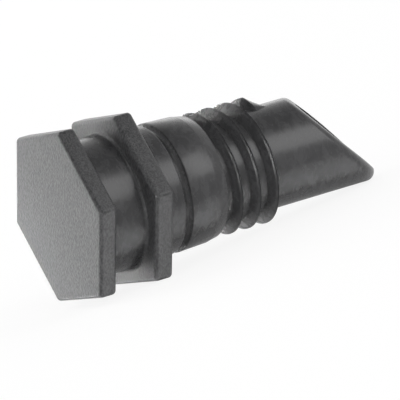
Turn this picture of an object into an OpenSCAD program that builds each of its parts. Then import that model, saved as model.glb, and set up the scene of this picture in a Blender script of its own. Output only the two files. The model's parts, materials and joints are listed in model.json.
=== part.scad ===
// Tube end plug: a moulded screw-in stopper for an irrigation pipe.
// Two hexagonal plates on a round neck make the grip.
// Behind them a collar, a narrow groove, a slightly tapered shank,
// a coarse outside thread and a hollow tip with a slanted mouth follow.
// Millimetres. The plug lies on the floor, z = 0, as it comes to rest:
// one flat of the flange and the end of the tip touch the floor,
// the head is towards -X and the tip towards +X.

/* [Hexagonal plates] */
// Width of both plates across their flats
across_flats = 18; // [12:0.5:30]
// Thickness of the head plate
head_t = 2.05; // [1:0.05:4]
// Clear gap between the head plate and the flange
gap = 4.7; // [3:0.1:8]
// Thickness of the flange
flange_t = 2.2; // [1:0.05:4]
// Radius of the rounding on all edges of the plates
edge_r = 0.5; // [0.2:0.05:0.8]

/* [Neck and collar] */
// Diameter of the neck between the plates
neck_d = 14.8; // [8:0.1:17]
// Diameter of the collar behind the flange
collar_d = 14.3; // [8:0.1:17]
// Length of the collar
collar_l = 2.75; // [1:0.05:6]
// Width of the groove behind the collar
groove_w = 0.75; // [0.4:0.05:2]
// Diameter at the bottom of the groove
groove_d = 12.7; // [8:0.1:16]

/* [Shank] */
// Diameter of the shank where it starts
shank_d = 14.3; // [8:0.1:17]
// Diameter of the shank where its shoulder starts
shank_end_d = 14; // [8:0.1:17]
// Length of the shank from the groove to its shoulder
shank_l = 3.5; // [1:0.1:8]
// Diameter at the end of the bevelled shoulder
shoulder_d = 13.5; // [8:0.1:16]
// Length of the bevelled shoulder
shoulder_l = 1.15; // [0.3:0.05:3]

/* [Thread] */
// Diameter over the crests of the thread
thread_d = 13.72; // [8:0.02:16]
// Distance from one turn to the next
pitch = 2.24; // [1.5:0.02:4]
// Full turns of the thread, without its run-out
thread_turns = 3.05; // [1:0.05:6]
// Axial place of the first crest behind the shoulder
thread_start = 0.85; // [0.5:0.05:3]
// Length along the axis of the flank that faces the head
flank_head = 0.6; // [0.2:0.05:1.2]
// Length along the axis of the flank that faces the tip
flank_tip = 0.7; // [0.2:0.05:1.2]
// Diameter of the threaded core at the shoulder
core_d = 11.7; // [6:0.1:14]
// Length along the axis of the step from the shoulder down to the core
core_step = 0.3; // [0.1:0.05:0.6]
// Width of the flat on the thread's crest
crest_w = 0.08; // [0.04:0.02:0.2]
// Angle around the axis over which the thread rises at its start
rise_turn = 8; // [4:1:40]
// Angle around the axis over which the thread runs out
run_out = 22; // [5:1:60]
// Length of the ramp that the last flank spreads into, towards the tip
ramp_l = 1.7; // [0.5:0.05:3]
// Angle around the axis over which the last flank spreads
ramp_turn = 60; // [10:5:180]

/* [Tip] */
// Outside diameter of the tip
tip_d = 11.24; // [6:0.02:14]
// Length of the tip along the axis, from the last full turn to the mouth
tip_l = 9.45; // [4:0.05:20]
// Angle of the slanted mouth to a square cut
cut_angle = 45; // [20:0.5:55]
// Radius of the rounding along the outer edge of the mouth
rim_r = 1.1; // [0.3:0.05:1.2]
// Diameter of the blind bore
bore_d = 9.2; // [4:0.1:10]
// Depth of the blind bore from the middle of the mouth
bore_l = 24; // [4:0.5:30]

/* [Hidden] */
$fn = 96;
// Middle of a plate's corner rounding, and the steps that the roundings are made in
corner_r = (across_flats / 2 - edge_r) / cos(30);
corner_steps = 5;
edge_steps = 5;
// Corner radius that is left on the plates' flat faces
face_r = 0.03;
flange_z = head_t + gap;
collar_z = flange_z + flange_t;
groove_z = collar_z + collar_l;
shank_z = groove_z + groove_w;
shoulder_z = shank_z + shank_l;
core_z = shoulder_z + shoulder_l;
first_z = core_z + thread_start;
core_end = first_z + pitch * thread_turns + flank_tip;
mouth_z = core_end + tip_l;
toe_turn = 30;
start_turn = 163;
// The rounded rim is the path of a ball that rolls inside the wall and under the slanted plane
ball_x = tip_d / 2 - rim_r;
ball_z = mouth_z - rim_r / cos(cut_angle);
// How far pieces of one body reach into each other
overlap = 0.5;
// Below this height the tip is a plain cylinder
plain_z = ball_z - ball_x * tan(cut_angle) - overlap;
rim_steps = 8;
rim_sides = 96;
// The faceted end of the tip stands back from the plain cylinder by a hair, so that their faces stay apart
hair = 0.02;
wall_r = tip_d / 2 - hair;
step = 7.5;
// How far the foot of the thread is sunk into the core
sink = 0.35;
// Share of the full height that the thread has at its very ends
least_rise = 0.02;
// The tip touches the floor with its rounded rim: the ball's place there, a little beside the lowest line
touch_turn = 3;
touch_x = ball_x * cos(touch_turn);
touch_z = ball_z + ball_x * cos(toe_turn - touch_turn) * tan(cut_angle);
// The flange touches the floor with the rounded rear edge of one flat
edge_x = across_flats / 2 - edge_r;
edge_z = collar_z - edge_r;
// The tilt of the axis that brings both down to the floor
reach = norm([touch_x - edge_x, touch_z - edge_z]);
tilt = atan2(touch_z - edge_z, touch_x - edge_x) - acos((edge_r - rim_r) / reach);
floor_shift = touch_x * cos(tilt) + touch_z * sin(tilt) + rim_r;
// Both ends of the lying plug along X, and the shift that puts their middle over the origin
back_x = (edge_r - edge_x * tan(tilt)) * cos(tilt) - edge_r;
end_x = (ball_z + ball_x * tan(cut_angle)) * cos(tilt) - ball_x * cos(toe_turn) * sin(tilt) + rim_r;
middle_shift = (back_x + end_x) / 2;

// Outline of a plate at one height: its six corners rounded with a radius
function hex_ring(r, z) = [for (k = [0:5]) for (i = [0:corner_steps])
    let (a = 60 * k + 60 * i / corner_steps)
    [corner_r * cos(60 * k + 30) + r * cos(a), corner_r * sin(60 * k + 30) + r * sin(a), z]
];

// One hexagonal plate with every edge rounded, from z0 upwards: rings stacked from face to face
module plate(z0, t) {
    q = 90 / edge_steps;
    low = [for (i = [1:edge_steps])
        for (p = hex_ring(edge_r * sin(q * i), z0 + edge_r * (1 - cos(q * i)))) p];
    high = [for (i = [0:edge_steps - 1])
        for (p = hex_ring(edge_r * cos(q * i), z0 + t - edge_r * (1 - sin(q * i)))) p];
    points = concat(hex_ring(face_r, z0), low, high, hex_ring(face_r, z0 + t));
    n = 6 * (corner_steps + 1);
    last = 2 * edge_steps + 1;
    side = [for (j = [0:last - 1]) for (i = [0:n - 1]) let (
        a = j * n + i,
        b = j * n + (i + 1) % n
    ) [a, a + n, b + n, b]];
    ends = [[for (i = [0:n - 1]) i], [for (i = [0:n - 1]) (last + 1) * n - 1 - i]];
    polyhedron(points = points, faces = concat(side, ends), convexity = 2);
}

// Half profile of the collar, groove, shank, core and tip, turned about the axis
module turned_body() {
    rotate_extrude() {
        polygon([
            [0, head_t / 2],
            [neck_d / 2, head_t / 2],
            [neck_d / 2, flange_z + flange_t / 2],
            [collar_d / 2, flange_z + flange_t / 2],
            [collar_d / 2, groove_z],
            [groove_d / 2, groove_z],
            [groove_d / 2, shank_z],
            [shank_d / 2, shank_z],
            [shank_end_d / 2, shoulder_z],
            [shoulder_d / 2, core_z],
            [core_d / 2, core_z + core_step],
            [tip_d / 2, core_end],
            [tip_d / 2, plain_z],
            [0, plain_z]
        ]);
    }
}

// Share of the full thread height at an angle from the start of the thread
function rise(a) = min(1, a / rise_turn, (360 * thread_turns + run_out - a) / run_out);
// Radius of the core at a height
function core_at(z) = core_d / 2 + (tip_d - core_d) / 2 * (z - core_z) / (core_end - core_z);
function crest_at(a) = first_z + pitch * a / 360;
// Length of the flank towards the tip: it spreads into a ramp at the end of the thread
function flank_at(a) = flank_tip
    + (ramp_l - flank_tip) * max(0, min(1, (a - 360 * thread_turns + ramp_turn) / ramp_turn));
// One section of the rib: foot towards the head, crest, foot towards the tip
function section(a) = let (
    z = crest_at(a),
    h = max(least_rise, rise(a)) * (thread_d / 2 - core_at(z)),
    k = (h + sink) / (thread_d / 2 - core_at(z)),
    foot = core_at(z) - sink,
    c = cos(a + start_turn),
    s = sin(a + start_turn)
) [
    [foot * c, foot * s, z - flank_head * k],
    [(core_at(z) + h) * c, (core_at(z) + h) * s, z - crest_w / 2],
    [(core_at(z) + h) * c, (core_at(z) + h) * s, z + crest_w / 2],
    [foot * c, foot * s, z + flank_at(a) * k]
];

// The outside thread: one rib wound around the core
module thread_rib() {
    last = 360 * thread_turns + run_out;
    n = round(last / step);
    points = [for (i = [0:n]) for (p = section(last * i / n)) p];
    side = [for (i = [0:n - 1]) for (j = [0:3]) let (
        a = 4 * i + j,
        b = 4 * i + (j + 1) % 4
    ) each [[a, b, b + 4], [a, b + 4, a + 4]]];
    ends = [[3, 2, 1, 0], [4 * n, 4 * n + 1, 4 * n + 2, 4 * n + 3]];
    polyhedron(points = points, faces = concat(side, ends), convexity = 12);
}

// The rolling ball's middle at an angle from the toe
function ball(a) = [ball_x * cos(a), ball_x * sin(a), ball_z + ball_x * cos(a) * tan(cut_angle)];
// Direction from the ball's middle to the rim: from the wall, s = 0, over to the slanted plane, s = 1
function rim_way(a, s) = let (
    out = [cos(a), sin(a), 0],
    up = [-sin(cut_angle), 0, cos(cut_angle)],
    g = acos(out * up)
) (sin((1 - s) * g) * out + sin(s * g) * up) / sin(g);

// End of the tip: wall, rounded rim and slanted mouth, its foot sunk into the plain cylinder
module tip_end() {
    angles = [for (i = [0:rim_sides - 1]) 360 * i / rim_sides];
    foot = [for (a = angles) [wall_r * cos(a), wall_r * sin(a), plain_z - overlap]];
    wall = [for (a = angles) [wall_r * cos(a), wall_r * sin(a), ball(a)[2]]];
    rim = [for (j = [1:rim_steps]) for (a = angles) ball(a) + rim_r * rim_way(a, j / rim_steps)];
    n = rim_sides;
    side = [for (j = [0:rim_steps]) for (i = [0:n - 1]) let (
        a = j * n + i,
        b = j * n + (i + 1) % n
    ) each [[a, b + n, b], [a, a + n, b + n]]];
    bottom = [[for (i = [0:n - 1]) i]];
    top = [[for (i = [0:n - 1]) (rim_steps + 2) * n - 1 - i]];
    rotate([0, 0, toe_turn])
        polyhedron(points = concat(foot, wall, rim), faces = concat(side, bottom, top), convexity = 2);
}

module plug_upright() {
    difference() {
        union() {
            plate(0, head_t);
            plate(flange_z, flange_t);
            turned_body();
            thread_rib();
            tip_end();
        }
        translate([0, 0, mouth_z - bore_l])
            cylinder(d = bore_d, h = bore_l + 2 * tip_d);
    }
}

// The plug as it lies: one flat of the flange and the lower end of the tip on the floor
module end_plug() {
    color([0.16, 0.16, 0.17])
        translate([-middle_shift, 0, floor_shift])
            rotate([0, 90 + tilt, 0])
                plug_upright();
}

end_plug();
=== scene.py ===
# %% [markdown]
# # Tube end plug
# A black moulded plastic plug that is screwed into the end of a tube, such as a drip pipe.
# Two hexagonal plates on a round neck make the grip. Behind them a collar, a narrow groove, a tapered shank,
# a coarse outside thread and a hollow tip with a slanted mouth follow.
# The plug is drawn upright and in millimetres, as a mould maker draws it, and laid into the frame at the end.
# How the real one is made isn't known: what the cells say of its mould and its finish is read from its looks.

# %% The frame
import json
from math import atan2, cos, pi, radians, sin, tan

import bpy
import numpy as np
from mathutils import Matrix, Vector


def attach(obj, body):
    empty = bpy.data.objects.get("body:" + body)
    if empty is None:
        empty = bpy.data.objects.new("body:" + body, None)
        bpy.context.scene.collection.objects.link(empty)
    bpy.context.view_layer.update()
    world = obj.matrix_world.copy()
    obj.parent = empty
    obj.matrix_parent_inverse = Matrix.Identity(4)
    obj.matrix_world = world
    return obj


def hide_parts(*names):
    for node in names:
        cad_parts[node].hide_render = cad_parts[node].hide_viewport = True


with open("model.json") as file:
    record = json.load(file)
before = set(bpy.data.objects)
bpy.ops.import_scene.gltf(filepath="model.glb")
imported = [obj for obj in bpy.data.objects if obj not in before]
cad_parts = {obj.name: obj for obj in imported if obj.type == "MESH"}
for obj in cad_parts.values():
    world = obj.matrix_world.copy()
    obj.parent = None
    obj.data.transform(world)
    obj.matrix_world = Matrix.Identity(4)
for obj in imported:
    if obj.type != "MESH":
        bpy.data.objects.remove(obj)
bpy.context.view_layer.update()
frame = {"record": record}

# %% [markdown]
# ## Sizes
# All sizes are millimetres. Heights are counted along the plug, from the face of the head towards the tip.
# The grip is taken as 18 mm across its flats, a likely size for half-inch pipe, and everything else follows
# the proportions in the photograph. Each height is built on the one before it, so one changed size moves all
# that follows.

# %% Sizes
flats, edge_r = 18.0, 0.5
head_t, gap, flange_t = 2.05, 4.7, 2.2
flange_z = head_t + gap
collar_z = flange_z + flange_t
groove_z = collar_z + 2.75
shank_z = groove_z + 0.75
shoulder_z = shank_z + 3.5
core_z = shoulder_z + 1.15
neck_r, collar_r, groove_r = 7.4, 7.15, 6.35
shank_r, shank_end_r, shoulder_r = 7.15, 7.0, 6.75
thread_r, core_r, tip_r = 6.86, 5.85, 5.62
pitch, turns, start_turn = 2.24, 3.05, radians(163)
run_in, run_out = 8.0, 22.0
flank_head, flank_tip, ramp_l, ramp_turn, sink = 0.6, 0.7, 1.7, 60.0, 0.35
first_z = core_z + 0.85
core_end = first_z + pitch * turns + flank_tip
mouth_z = core_end + 9.45
cut, rim_r, toe_turn = radians(45), 1.1, radians(31.5)
bore_r, bore_l = 4.6, 24.0
ball_r = tip_r - rim_r
ball_z = mouth_z - rim_r / cos(cut)
plain_z = ball_z - ball_r * tan(cut) - 0.5
print("the mouth's middle is", round(mouth_z, 2), "mm from the head's face")

# %% [markdown]
# ## Small helpers
# Each one does a single plain thing: open a mesh for editing, pick parts of it, close it again.

# %% Helpers
def activate(obj):
    bpy.ops.object.select_all(action="DESELECT")
    obj.select_set(True)
    bpy.context.view_layer.objects.active = obj


def edit(obj):
    activate(obj)
    bpy.ops.object.mode_set(mode="EDIT")
    bpy.ops.mesh.select_mode(type="VERT")
    bpy.ops.mesh.select_all(action="DESELECT")


def pick(obj, kind, test):
    """Selects the vertices, edges or faces whose list of points passes the test."""
    bpy.ops.mesh.select_mode(type={"vertices": "VERT", "edges": "EDGE", "polygons": "FACE"}[kind])
    bpy.ops.mesh.select_all(action="DESELECT")
    bpy.ops.object.mode_set(mode="OBJECT")
    places = [v.co.copy() for v in obj.data.vertices]
    for part in getattr(obj.data, kind):
        mine = [part.co] if kind == "vertices" else [places[i] for i in part.vertices]
        part.select = bool(test(mine))
    bpy.ops.object.mode_set(mode="EDIT")


def close(obj):
    """Merges doubles, turns the normals outwards, leaves edit mode and says what was made."""
    bpy.ops.mesh.select_all(action="SELECT")
    bpy.ops.mesh.remove_doubles(threshold=1e-4)
    bpy.ops.mesh.normals_make_consistent(inside=False)
    bpy.ops.object.mode_set(mode="OBJECT")
    box = places_of(obj)
    print(obj.name, len(box), "points from", box.min(0).round(2), "to", box.max(0).round(2), "mm")


def places_of(obj):
    flat = np.empty(3 * len(obj.data.vertices))
    obj.data.vertices.foreach_get("co", flat)
    return flat.reshape(-1, 3)


def place(obj, places):
    obj.data.vertices.foreach_set("co", places.ravel())
    obj.data.update()


def apply_all(obj):
    activate(obj)
    for modifier in list(obj.modifiers):
        bpy.ops.object.modifier_apply(modifier=modifier.name)


# %% [markdown]
# ## The two hexagonal plates
# Fingers or a spanner hold the plug by these plates. The mould rounds every one of their edges,
# and those roundings carry the thin light lines that outline the head in the photograph.
# A six-sided cylinder has the right flats at once. Its upright edges are rounded first, then both outlines.

# %% Plates
def hexagon(name, z, thickness):
    bpy.ops.mesh.primitive_cylinder_add(
        vertices=6, radius=flats / 2 / cos(pi / 6), depth=thickness, location=(0, 0, z + thickness / 2))
    plate = bpy.context.object
    plate.name = name
    bpy.ops.object.transform_apply(location=True, rotation=True, scale=True)
    edit(plate)
    pick(plate, "edges", lambda p: abs(p[0].z - p[1].z) > thickness / 2)
    bpy.ops.mesh.bevel(offset=edge_r * tan(pi / 6), segments=6, profile=0.5)
    for level in (z, z + thickness):
        pick(plate, "edges", lambda p: all(abs(q.z - level) < 1e-3 for q in p))
        bpy.ops.mesh.bevel(offset=0.92 * edge_r, segments=6, profile=0.5, clamp_overlap=False)
    close(plate)
    return plate


head = hexagon("head", 0, head_t)
flange = hexagon("flange", flange_z, flange_t)

# %% [markdown]
# ## The turned skin
# Everything round is cut into such a mould on a lathe, so one half profile describes it from head to tip.
# The profile is drawn with a pen: one point that is extruded from place to place, and then spun around the
# axis. Small arcs round the corners, because a sharp inner corner would tear when the part is pushed out of
# its mould. The arcs are wide at the neck and finer behind the flange. Each one catches light as a thin line
# in the photograph.

# %% Profile
def arc(r, z, radius, start, end, steps=4):
    turns_at = np.radians(np.linspace(start, end, steps + 1))
    return [(r + radius * cos(a), z + radius * sin(a)) for a in turns_at]


wide, soft, edge, crisp, inner, ease = 0.42, 0.4, 0.26, 0.16, 0.2, 0.12
cone_z = core_z + 0.45
profile = [(0, 1), (neck_r + wide, 1)]
profile += arc(neck_r + wide, head_t + wide, wide, 270, 180, 8)
profile += arc(neck_r + wide, flange_z - wide, wide, 180, 90, 8)
profile += [(neck_r + wide, flange_z + 1), (collar_r + soft, flange_z + 1.2)]
profile += arc(collar_r + soft, collar_z + soft, soft, 270, 180)
profile += arc(collar_r - edge, groove_z - edge, edge, 0, 90, 6)
profile += arc(groove_r + inner, groove_z + inner, inner, 270, 180)
profile += arc(groove_r + inner, shank_z - inner, inner, 180, 90)
profile += arc(shank_r - crisp, shank_z + crisp, crisp, -90, 0)
profile += [(shank_end_r + 0.01, shoulder_z - ease), (shank_end_r - 0.02, shoulder_z)]
profile += [(shank_end_r - 0.06, shoulder_z + ease)]
profile += [(shoulder_r + 0.03, core_z - ease), (shoulder_r - 0.03, core_z - 0.03)]
profile += [(shoulder_r - ease, core_z), (core_r + ease, core_z + 0.27), (core_r + 0.02, core_z + 0.33)]
profile += [(core_r + (tip_r - core_r) * k / 8, cone_z + (core_end - cone_z) * k / 8) for k in range(9)]
profile += [(tip_r, plain_z)]
rim_rows, row_gap = 12, 0.1
rows_from = plain_z + 1
profile += [(tip_r - 0.01 * k, rows_from + row_gap * k) for k in range(rim_rows + 1)]
profile += [(0, mouth_z)]
print(len(profile), "points in the half profile")


def draw(name, points):
    bpy.ops.mesh.primitive_plane_add(size=1)
    pen = bpy.context.object
    pen.name = name
    edit(pen)
    bpy.ops.mesh.select_all(action="SELECT")
    bpy.ops.mesh.merge(type="CENTER")
    bpy.ops.transform.translate(value=points[0])
    for old, new in zip(points, points[1:]):
        bpy.ops.mesh.extrude_region_move(TRANSFORM_OT_translate={"value": Vector(new) - Vector(old)})
    return pen


skin = draw("skin", [(r, 0, z) for r, z in profile])
bpy.ops.mesh.select_all(action="SELECT")
bpy.ops.mesh.spin(steps=240, angle=2 * pi, center=(0, 0, 0), axis=(0, 0, 1))
close(skin)

# %% [markdown]
# ## The slanted, rounded end of the tip
# The tip is cut at 45 degrees, so that the plug finds its way into a pipe, and its outer edge is well
# rounded. The rounding is the path of a ball that rolls around inside the wall and under the slanted plane.
# Each row of points keeps its own share of the way from the wall, 0, to the plane, 1, and is moved there by a
# formula. A plain bevel would be wide at the toe and thin at the heel, where the faces meet at other angles.

# %% Rounded rim
where = places_of(skin)
row = np.rint((where[:, 2] - rows_from) / row_gap)
on_rim = (where[:, 2] > plain_z + 0.5) & (np.hypot(where[:, 0], where[:, 1]) > 1)
a = np.arctan2(where[:, 1], where[:, 0]) - toe_turn
share = row / rim_rows
up = np.array([-sin(cut), 0, cos(cut)])
out = np.stack([np.cos(a), np.sin(a), 0 * a], 1)
between = np.arccos(out @ up)[:, None]
way = (np.sin((1 - share[:, None]) * between) * out + np.sin(share[:, None] * between) * up) / np.sin(between)
ball = np.stack([ball_r * np.cos(a), ball_r * np.sin(a), ball_z + ball_r * np.cos(a) * tan(cut)], 1)
turned = Matrix.Rotation(toe_turn, 3, "Z")
moved = (ball + rim_r * way) @ np.array(turned).T
where[on_rim] = moved[on_rim]
place(skin, where)
print(on_rim.sum(), "points on the rounded rim, toe at", where[:, 2].max().round(2), "mm")

# %% [markdown]
# ## The bore
# A blind bore makes the tip hollow: it saves material and lets the wall give a little when the plug is
# screwed in. Its depth is a guess, because the mouth is all that shows.
# A cylinder is taken away from the closed skin, which leaves a thin crescent rim as on the real mouth.

# %% Bore
past_mouth = 14.0
bpy.ops.mesh.primitive_cylinder_add(
    vertices=192, radius=bore_r, depth=bore_l + past_mouth,
    location=(0, 0, mouth_z + (past_mouth - bore_l) / 2))
core_pin = bpy.context.object
core_pin.name = "core_pin"
bpy.ops.object.transform_apply(location=True, rotation=True, scale=True)
edit(core_pin)
pick(core_pin, "edges", lambda p: all(q.z < mouth_z - bore_l + 1 for q in p) and abs(p[0].z - p[1].z) < 0.1)
bpy.ops.mesh.bevel(offset=0.5, segments=4, profile=0.5)
close(core_pin)
cutter = skin.modifiers.new("bore", "BOOLEAN")
cutter.operation, cutter.solver, cutter.object = "DIFFERENCE", "EXACT", core_pin
apply_all(skin)
bpy.data.objects.remove(core_pin)
edit(skin)
close(skin)

# %% [markdown]
# ## The thread
# The thread is one rib that winds three times around the core: 2.24 mm from turn to turn, right-handed.
# It bites into the pipe's soft wall, so its section is nearly a triangle. A narrow flat on the crest, 0.14 mm
# wide, shows as the thin light line on each turn.
# The section is drawn with the same pen, closed along its foot inside the core, and swept up the screw line.

# %% Thread
def core_at(z):
    return core_r + (tip_r - core_r) * (z - core_z) / (core_end - core_z)


foot = core_at(first_z) - sink
tall = thread_r - core_at(first_z)
whole = (tall + sink) / tall
crest = thread_r - 0.005
half_way = foot + 0.5 * (crest - foot)
section = [(foot, -flank_head * whole), (half_way, -0.5 * flank_head * whole)]
section += [(crest - 0.015, -0.09), (crest, -0.07), (crest, 0.07), (crest - 0.015, 0.09)]
section += [(half_way, 0.5 * flank_tip * whole), (foot, flank_tip * whole)]
rib = draw("rib", [(r * cos(start_turn), r * sin(start_turn), first_z + w) for r, w in section])
bpy.ops.mesh.select_all(action="SELECT")
pick(rib, "vertices", lambda p: abs(p[0].xy.length - foot) < 1e-3)
bpy.ops.mesh.edge_face_add()
bpy.ops.object.mode_set(mode="OBJECT")
total = 360 * turns + run_out
steps = 480
screw = rib.modifiers.new("winding", "SCREW")
screw.angle, screw.screw_offset = radians(total), pitch * total / 360
screw.steps, screw.render_steps = steps, steps
screw.use_merge_vertices = False
apply_all(rib)
print(len(rib.data.vertices) / len(section), "sections of the rib")

# %% [markdown]
# ### Start and run-out
# A thread can't start or stop at once, or the mould would have a wall there. At its start the rib rises
# within eight degrees. At its end the crest sinks into the core over the last 22 degrees, while the flank
# towards the tip spreads into a ramp. The ramp keeps its width as the crest sinks, which gives the small leaf
# shape on top of the plug. Every point of the swept rib knows its section and its angle by its number, so it
# can be placed anew.

# %% Run-out of the thread
where = places_of(rib)
order = np.arange(len(where))
step = order // len(section)
a = total * step / step.max()
kind = np.array(section)[order % len(section)]
crest_z = first_z + pitch * a / 360
rise = np.clip(np.minimum(a / run_in, (total - a) / run_out), 0.02, 1)
core_here = core_at(crest_z)
high = rise * (thread_r - core_here)
small = (high + sink) / (tall + sink)
spread = 1 + (ramp_l / flank_tip - 1) * np.clip((a - 360 * turns + ramp_turn) / ramp_turn, 0, 1)
radius = core_here - sink + (kind[:, 0] - foot) * small
wide_foot = np.where(a > 360 * turns, (high + sink) / np.maximum(high, 0.3) / whole, small)
along = kind[:, 1] * np.where(kind[:, 1] > 0, spread * wide_foot, small)
angle = np.radians(a) + start_turn
error = np.abs(np.hypot(where[:, 0], where[:, 1]) - kind[:, 0]).max()
print("rows of the rib found within", round(float(error), 4), "mm")
place(rib, np.stack([radius * np.cos(angle), radius * np.sin(angle), crest_z + along], 1))
edit(rib)
bpy.ops.mesh.select_mode(type="VERT")
bpy.ops.mesh.select_non_manifold()
bpy.ops.mesh.fill_holes(sides=0)
close(rib)

# %% [markdown]
# ## One moulded piece
# Plates, skin and rib are one piece of plastic, so they are joined. Then the plug is laid down into the
# frame: the mount on the head's face gives the place and the direction of the axis, and 1 mm becomes 0.001 m.

# %% Joining and laying down
activate(skin)
for part in (head, flange, rib):
    part.select_set(True)
bpy.ops.object.join()
plug = bpy.context.object
plug.name = plug.data.name = "moulded_plug"
mounts = {m["name"]: m for m in frame["record"]["mounts"]}
face = mounts["head_face"]
axis = -Vector(face["axis"]).normalized()
lean = atan2(-axis.z, axis.x)
lay = Matrix(((-sin(lean), 0, cos(lean)), (0, 1, 0), (-cos(lean), 0, -sin(lean))))
lay = Matrix.Translation(face["pos_m"]) @ lay.to_4x4() @ Matrix.Scale(0.001, 4)
plug.data.transform(lay)
plug.data.update()
print("the axis leans", round(lean * 180 / pi, 2), "degrees")
activate(plug)
bpy.ops.object.shade_smooth_by_angle(angle=radians(32))
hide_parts("end_plug")
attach(plug, "root")

# %% [markdown]
# ## The plastic
# Polypropylene, coloured through with carbon black and injection moulded. It is nearly black everywhere, so
# what the eye sees is mostly gloss. Two soft light bands run along the round parts, the head's face mirrors a
# lamp at a flat angle, and every edge has its thin light or dark line.
# Three small helpers come first. One turns a written colour into light values, one adds a node with its
# settings and links, and one opens an empty material.

# %% Material helpers
def linear(code):
    """A colour written as sRGB hex, as light values."""
    parts = [int(code[i:i + 2], 16) / 255 for i in (1, 3, 5)]
    return tuple(p / 12.92 if p <= 0.04045 else ((p + 0.055) / 1.055) ** 2.4 for p in parts) + (1.0,)


def add(tree, kind, inputs=(), **options):
    """Adds one node. An input takes a value, an output, or a node, which stands for its first output."""
    node = tree.nodes.new(kind)
    for name, value in options.items():
        setattr(node, name, value)
    for name, source in inputs:
        if isinstance(source, bpy.types.Node):
            source = source.outputs[0]
        if isinstance(source, bpy.types.NodeSocket):
            tree.links.new(source, node.inputs[name])
        else:
            node.inputs[name].default_value = source
    return node


def new_material(name):
    material = bpy.data.materials.new(name)
    material.use_nodes = True
    material.node_tree.nodes.clear()
    return material, material.node_tree


# %% [markdown]
# ### Two kinds of surface
# The plates carry the fine grain of a spark-eroded mould. The round parts come out of turned mould halves:
# they are smoother and show faint wisps around the axis. Both are one plastic, so they are told apart by
# place alone. What lies behind the head plate and within the neck's radius is round, 1, and the rest is
# plate, 0.

# %% Place on the plug
plastic, tree = new_material("polypropylene_carbon_black_injection_moulded")
coords = add(tree, "ShaderNodeTexCoord").outputs["Object"]
from_head = add(tree, "ShaderNodeVectorMath", [(0, coords), (1, face["pos_m"])], operation="SUBTRACT")
depth = add(tree, "ShaderNodeVectorMath", [
    (0, from_head), (1, axis)], operation="DOT_PRODUCT").outputs["Value"]
sideways = add(tree, "ShaderNodeVectorMath", [(0, from_head), (1, axis)], operation="CROSS_PRODUCT")
off_axis = add(tree, "ShaderNodeVectorMath", [(0, sideways)], operation="LENGTH").outputs["Value"]
margin = 0.1
behind = add(tree, "ShaderNodeMath", [(0, depth), (1, (head_t + margin) / 1000)], operation="GREATER_THAN")
near = add(tree, "ShaderNodeMath", [(0, off_axis), (1, (neck_r + margin) / 1000)], operation="LESS_THAN")
round_part = add(tree, "ShaderNodeMath", [(0, behind), (1, near)], operation="MULTIPLY")
print("round parts end", neck_r + margin, "mm from the axis")

# %% [markdown]
# ### Grain of the plates
# Spark erosion leaves tiny craters, here about a sixth of a millimetre wide: 6000 in a metre.
# In the photograph they are twice as long along one edge of the hexagon, as if the mould was stroked with a
# stone. So half of the way along that edge is taken back from the coordinates before the noise is looked up.
# The grain shifts the colour a little, and gives the relief further below.

# %% Grain
marks = (lay.to_3x3() @ Vector((cos(radians(30)), sin(radians(30)), 0))).normalized()
way_along = add(tree, "ShaderNodeVectorMath", [
    (0, coords), (1, marks)], operation="DOT_PRODUCT").outputs["Value"]
taken = add(tree, "ShaderNodeMath", [(0, way_along), (1, -0.5)], operation="MULTIPLY")
shift = add(tree, "ShaderNodeVectorMath", [(0, marks), (1, taken)], operation="MULTIPLY")
drawn = add(tree, "ShaderNodeVectorMath", [(0, coords), (1, shift)], operation="ADD")
grain_scale = 6000.0
grain = add(tree, "ShaderNodeTexNoise", [
    ("Vector", drawn), ("Scale", grain_scale), ("Detail", 1.0), ("Roughness", 0.6)]).outputs["Fac"]
print("the grain is", round(1000 / grain_scale, 2), "mm wide")

# %% [markdown]
# ### Wisps of the round parts
# The polished mould and the flow of the plastic leave wisps, about 0.8 mm along the axis and 1.3 mm around
# it. So the place is pressed together to 0.6 across the axis, while the way along the axis stays whole.

# %% Wisps
wisp_scale, squeeze = 1300.0, 0.6
pressed = add(tree, "ShaderNodeVectorMath", [(0, from_head), (1, (squeeze,) * 3)], operation="MULTIPLY")
restored = add(tree, "ShaderNodeVectorMath", [(0, (1 - squeeze) * axis), (1, depth)], operation="MULTIPLY")
around = add(tree, "ShaderNodeVectorMath", [(0, pressed), (1, restored)], operation="ADD")
wisps = add(tree, "ShaderNodeTexNoise", [
    ("Vector", around), ("Scale", wisp_scale), ("Detail", 4.0), ("Roughness", 0.65), ("Distortion", 0.6)
]).outputs["Fac"]
print("the wisps are", round(1000 / wisp_scale, 2), "by", round(1000 / wisp_scale / squeeze, 2), "mm")

# %% [markdown]
# ### Colours of both surfaces
# Black plastic is never one even black. Each pattern moves the colour between two greys, over the middle of
# its values, where most of them lie. The wisps have the closer pair, because they are hardly seen as colour.

# %% Colours
tones = []
for pattern, dark, light in ((grain, "#1f1f20", "#3f3f40"), (wisps, "#29292a", "#373738")):
    ramp = add(tree, "ShaderNodeValToRGB", [("Fac", pattern)])
    for stop, at, code in zip(ramp.color_ramp.elements, (0.35, 0.65), (dark, light)):
        stop.position, stop.color = at, linear(code)
    tones.append(ramp)
charcoal, smoke = tones
skin_colour = add(tree, "ShaderNodeMix", [
    ("Factor", round_part), (6, charcoal), (7, smoke)], data_type="RGBA").outputs[2]
print(len(tones), "pairs of tones")
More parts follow.
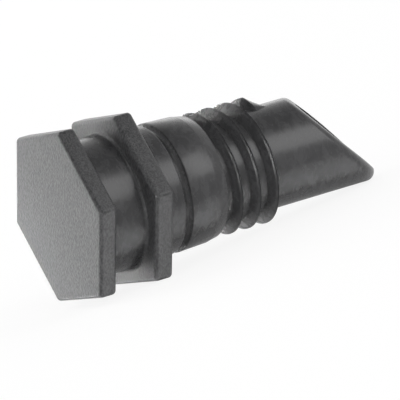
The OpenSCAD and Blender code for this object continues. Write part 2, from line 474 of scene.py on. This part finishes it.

# %% [markdown]
# ### Painted fill light in the recesses
# Faces that look along the axis, deep in the gap and in the groove, get a lighter grey painted into their
# colour.
# It stands in for fill light that the lamps don't bring there. Ambient Occlusion tells how shut in a place is
# within 2.5 mm.
# On the thread the painted fill light counts half, so its flanks stay darker.

# %% Painted fill light
open_air = add(tree, "ShaderNodeAmbientOcclusion", [("Distance", 0.0025)], samples=16).outputs["AO"]
shut_in = add(tree, "ShaderNodeMapRange", [
    ("Value", open_air), ("From Min", 0.05), ("From Max", 0.68), ("To Min", 1.0), ("To Max", 0.0)])
normal = add(tree, "ShaderNodeTexCoord").outputs["Normal"]
lookout = add(tree, "ShaderNodeVectorMath", [
    (0, normal), (1, axis)], operation="DOT_PRODUCT").outputs["Value"]
end_face = add(tree, "ShaderNodeMath", [(0, lookout)], operation="ABSOLUTE")
# From the shank on, the painted fill light counts half.
fill_on_thread_share = add(tree, "ShaderNodeMapRange", [
    ("Value", depth), ("From Min", shank_z / 1000), ("From Max", (shank_z + 1) / 1000),
    ("To Min", 1.0), ("To Max", 0.5)])
in_recess = add(tree, "ShaderNodeMath", [(0, shut_in), (1, end_face)], operation="MULTIPLY")
painted_fill_light = add(tree, "ShaderNodeMath", [(0, in_recess), (1, fill_on_thread_share)], operation="MULTIPLY")
# The light grey #8e8e8f mixed in here is painted fill light in the recesses, not dust.
colour = add(tree, "ShaderNodeMix", [
    ("Factor", painted_fill_light), (6, skin_colour), (7, linear("#8e8e8f"))], data_type="RGBA").outputs[2]
print("the haze halves from", shank_z, "mm on")

# %% [markdown]
# ### Gloss and relief
# The grained plates are matt, with a roughness of 0.36. The round parts are smoother and change from 0.22 to
# 0.32 with the wisps, which frays the ends of the light bands.
# The relief is real size too: 0.04 mm for the craters of the grain and 0.01 mm for the wisps.

# %% Shader
sheen = add(tree, "ShaderNodeMapRange", [
    ("Value", wisps), ("From Min", 0.3), ("From Max", 0.7), ("To Min", 0.22), ("To Max", 0.32)])
gloss = add(tree, "ShaderNodeMix", [("Factor", round_part), (2, 0.36), (3, sheen)], data_type="FLOAT")
faint = add(tree, "ShaderNodeBump", [("Height", wisps), ("Strength", round_part), ("Distance", 0.00001)])
strength = add(tree, "ShaderNodeMapRange", [("Value", round_part), ("To Min", 1.0), ("To Max", 0.04)])
relief = add(tree, "ShaderNodeBump", [
    ("Height", grain), ("Strength", strength), ("Distance", 0.00004), ("Normal", faint)])
shader = add(tree, "ShaderNodeBsdfPrincipled", [
    ("Base Color", colour), ("Roughness", gloss), ("Normal", relief), ("IOR", 1.45)])
add(tree, "ShaderNodeOutputMaterial", [("Surface", shader)])
plug.data.materials.clear()
plug.data.materials.append(plastic)
print("one material on", len(plug.data.polygons), "faces")

# %% [markdown]
# ## Light table
# The photograph is on white, most likely on a light table, because the underside of the plug is lit from
# below. The sheet shows mostly its own white to the camera, and the small rest is plain shading, which keeps
# a soft shadow. In reflections it is a dim white. For the light of the lamps it is clear, so lamps below it
# can shine through.

# %% Floor
bpy.ops.mesh.primitive_plane_add(size=4, location=(0, 0, 0))
floor = bpy.context.object
floor.name = "floor"
paper, tree = new_material("white_acrylic_light_table")
seen = add(tree, "ShaderNodeLightPath").outputs
own_white, in_mirror = 0.86, 0.25
shown = add(tree, "ShaderNodeMath", [(0, seen["Is Camera Ray"]), (1, own_white)], operation="MULTIPLY")
mirrored = add(tree, "ShaderNodeMath", [(0, seen["Is Glossy Ray"]), (1, in_mirror)], operation="MULTIPLY")
glow_share = add(tree, "ShaderNodeMath", [(0, mirrored), (1, shown)], operation="MAXIMUM")
matt = add(tree, "ShaderNodeBsdfDiffuse", [("Color", linear("#ffffff"))])
white = add(tree, "ShaderNodeEmission", [("Color", linear("#ffffff")), ("Strength", 1.0)])
sheet = add(tree, "ShaderNodeMixShader", [(0, glow_share), (1, matt), (2, white)])
clear = add(tree, "ShaderNodeBsdfTransparent")
table = add(tree, "ShaderNodeMixShader", [(0, seen["Is Shadow Ray"]), (1, sheet), (2, clear)])
add(tree, "ShaderNodeOutputMaterial", [("Surface", table)])
floor.data.materials.append(paper)
print("the floor shows", own_white, "of its own white")

# %% [markdown]
# ## White tent
# A tent of white cloth stands around the table. To the camera it is plain white. Its light falls off towards
# the top, which keeps the upper facets of the plates darker than the bands.
# In reflections a dark card hangs on the head's side. It draws the dark line around the head's face.

# %% World
world = bpy.data.worlds.new("white_tent")
bpy.context.scene.world = world
world.use_nodes = True
tree = world.node_tree
tree.nodes.clear()
seen = add(tree, "ShaderNodeLightPath").outputs
sight = add(tree, "ShaderNodeTexCoord").outputs["Generated"]
toward = add(tree, "ShaderNodeSeparateXYZ", [("Vector", sight)]).outputs
in_view = add(tree, "ShaderNodeMath", [
    (0, seen["Is Camera Ray"]), (1, seen["Is Glossy Ray"])], operation="MAXIMUM")
for_matt = 0.85
level = add(tree, "ShaderNodeMapRange", [("Value", in_view), ("To Min", for_matt), ("To Max", 1.0)])
ceiling = add(tree, "ShaderNodeMapRange", [
    ("Value", toward["Z"]), ("From Min", 0.55), ("From Max", 0.8), ("To Min", 1.0), ("To Max", 0.4)])
above = add(tree, "ShaderNodeMath", [(0, toward["Z"]), (1, 0.0)], operation="GREATER_THAN")
card = add(tree, "ShaderNodeMapRange", [
    ("Value", toward["X"]), ("From Min", -0.5), ("From Max", -0.2), ("To Min", 0.2), ("To Max", 1.0)])
unmirrored = add(tree, "ShaderNodeMath", [(0, 1.0), (1, seen["Is Glossy Ray"])], operation="SUBTRACT")
cloth = add(tree, "ShaderNodeMath", [(0, card), (1, unmirrored)], operation="MAXIMUM")
for dimmer in (level, ceiling, above):
    cloth = add(tree, "ShaderNodeMath", [(0, cloth), (1, dimmer)], operation="MULTIPLY")
light = add(tree, "ShaderNodeMath", [(0, cloth), (1, seen["Is Camera Ray"])], operation="MAXIMUM")
sky = add(tree, "ShaderNodeBackground", [("Strength", light), ("Color", linear("#ffffff"))])
add(tree, "ShaderNodeOutputWorld", [("Surface", sky)])
print("the tent gives", for_matt, "to matt surfaces")

# %% [markdown]
# ## Lamps
# A black glossy part is lit by what it mirrors, so each lamp stands where one surface looks for it.
# The places and strengths were found by trial, until the reflections lay as in the photograph. Azimuth and
# elevation are in degrees, seen from the plug, and the radiance is plain, so that colours stay as written.
# - `soft_box_right` and `table_lamp_right` draw the upper and the lower band along the round parts.
# - `soft_box_head` fills the head's face: it is wide, because that face has one even grey.
# - `soft_box_left` lights what looks towards the head's side, such as the end faces in the gap.
# - `soft_box_back` and `soft_box_high` give the light rims along the top and on the ends of the thread.
# - `soft_box_front` and `table_lamp_front` are small, for the thin light lines at the plates' front edges.
#
# A lamp that reaches below the table gives its light only directly, because the table hides it from other
# rays.

# %% Lamps
middle = Vector((0, 0, 0.009))


def soft_box(name, azimuth, elevation, distance, width, height, radiance, below_table=False):
    az, el = radians(azimuth), radians(elevation)
    direction = Vector((cos(el) * cos(az), cos(el) * sin(az), sin(el)))
    lamp = bpy.data.lights.new(name, "AREA")
    lamp.shape, lamp.size, lamp.size_y = "RECTANGLE", width, height
    lamp.cycles.use_multiple_importance_sampling = not below_table
    lamp.energy = radiance * pi * width * height
    holder = bpy.data.objects.new(name, lamp)
    bpy.context.scene.collection.objects.link(holder)
    holder.location = middle + distance * direction
    holder.rotation_euler = direction.to_track_quat("Z", "Y").to_euler()
    print(name, "gives", round(lamp.energy, 3), "W")


soft_box("soft_box_right", -55, 18, 0.8, 0.40, 0.50, 2.8)
soft_box("soft_box_head", 116, 7, 0.9, 1.1, 1.05, 1.8, below_table=True)
soft_box("soft_box_left", -160, 3, 0.9, 0.5, 0.5, 6.5, below_table=True)
soft_box("soft_box_back", 55, 17, 0.9, 0.8, 0.3, 0.9)
soft_box("soft_box_high", 108, 52, 0.9, 0.36, 0.36, 2.2)
soft_box("soft_box_front", -92, 50, 0.8, 0.24, 0.24, 2.5)
soft_box("table_lamp_right", -40, -57, 0.6, 0.40, 0.40, 1.35, below_table=True)
soft_box("table_lamp_front", -86, -64, 0.6, 0.2, 0.2, 3.5, below_table=True)

# %% [markdown]
# ## Camera
# The outline in the photograph fits a long lens at about half a metre, a little above the plug and on the
# head's side. The camera is turned by 20 degrees, so that the plug points up to the right.

# %% Camera
camera = bpy.data.objects.new("camera", bpy.data.cameras.new("camera"))
bpy.context.scene.collection.objects.link(camera)
camera.location = (-0.24603, -0.48781, 0.07433)
camera.rotation_euler = (radians(82.3347), radians(20.1968), radians(-29.2247))
camera.data.lens = 461.94
camera.data.sensor_width = 36
camera.data.clip_start = 0.01
bpy.context.scene.camera = camera
bpy.context.scene.view_settings.view_transform = "Standard"
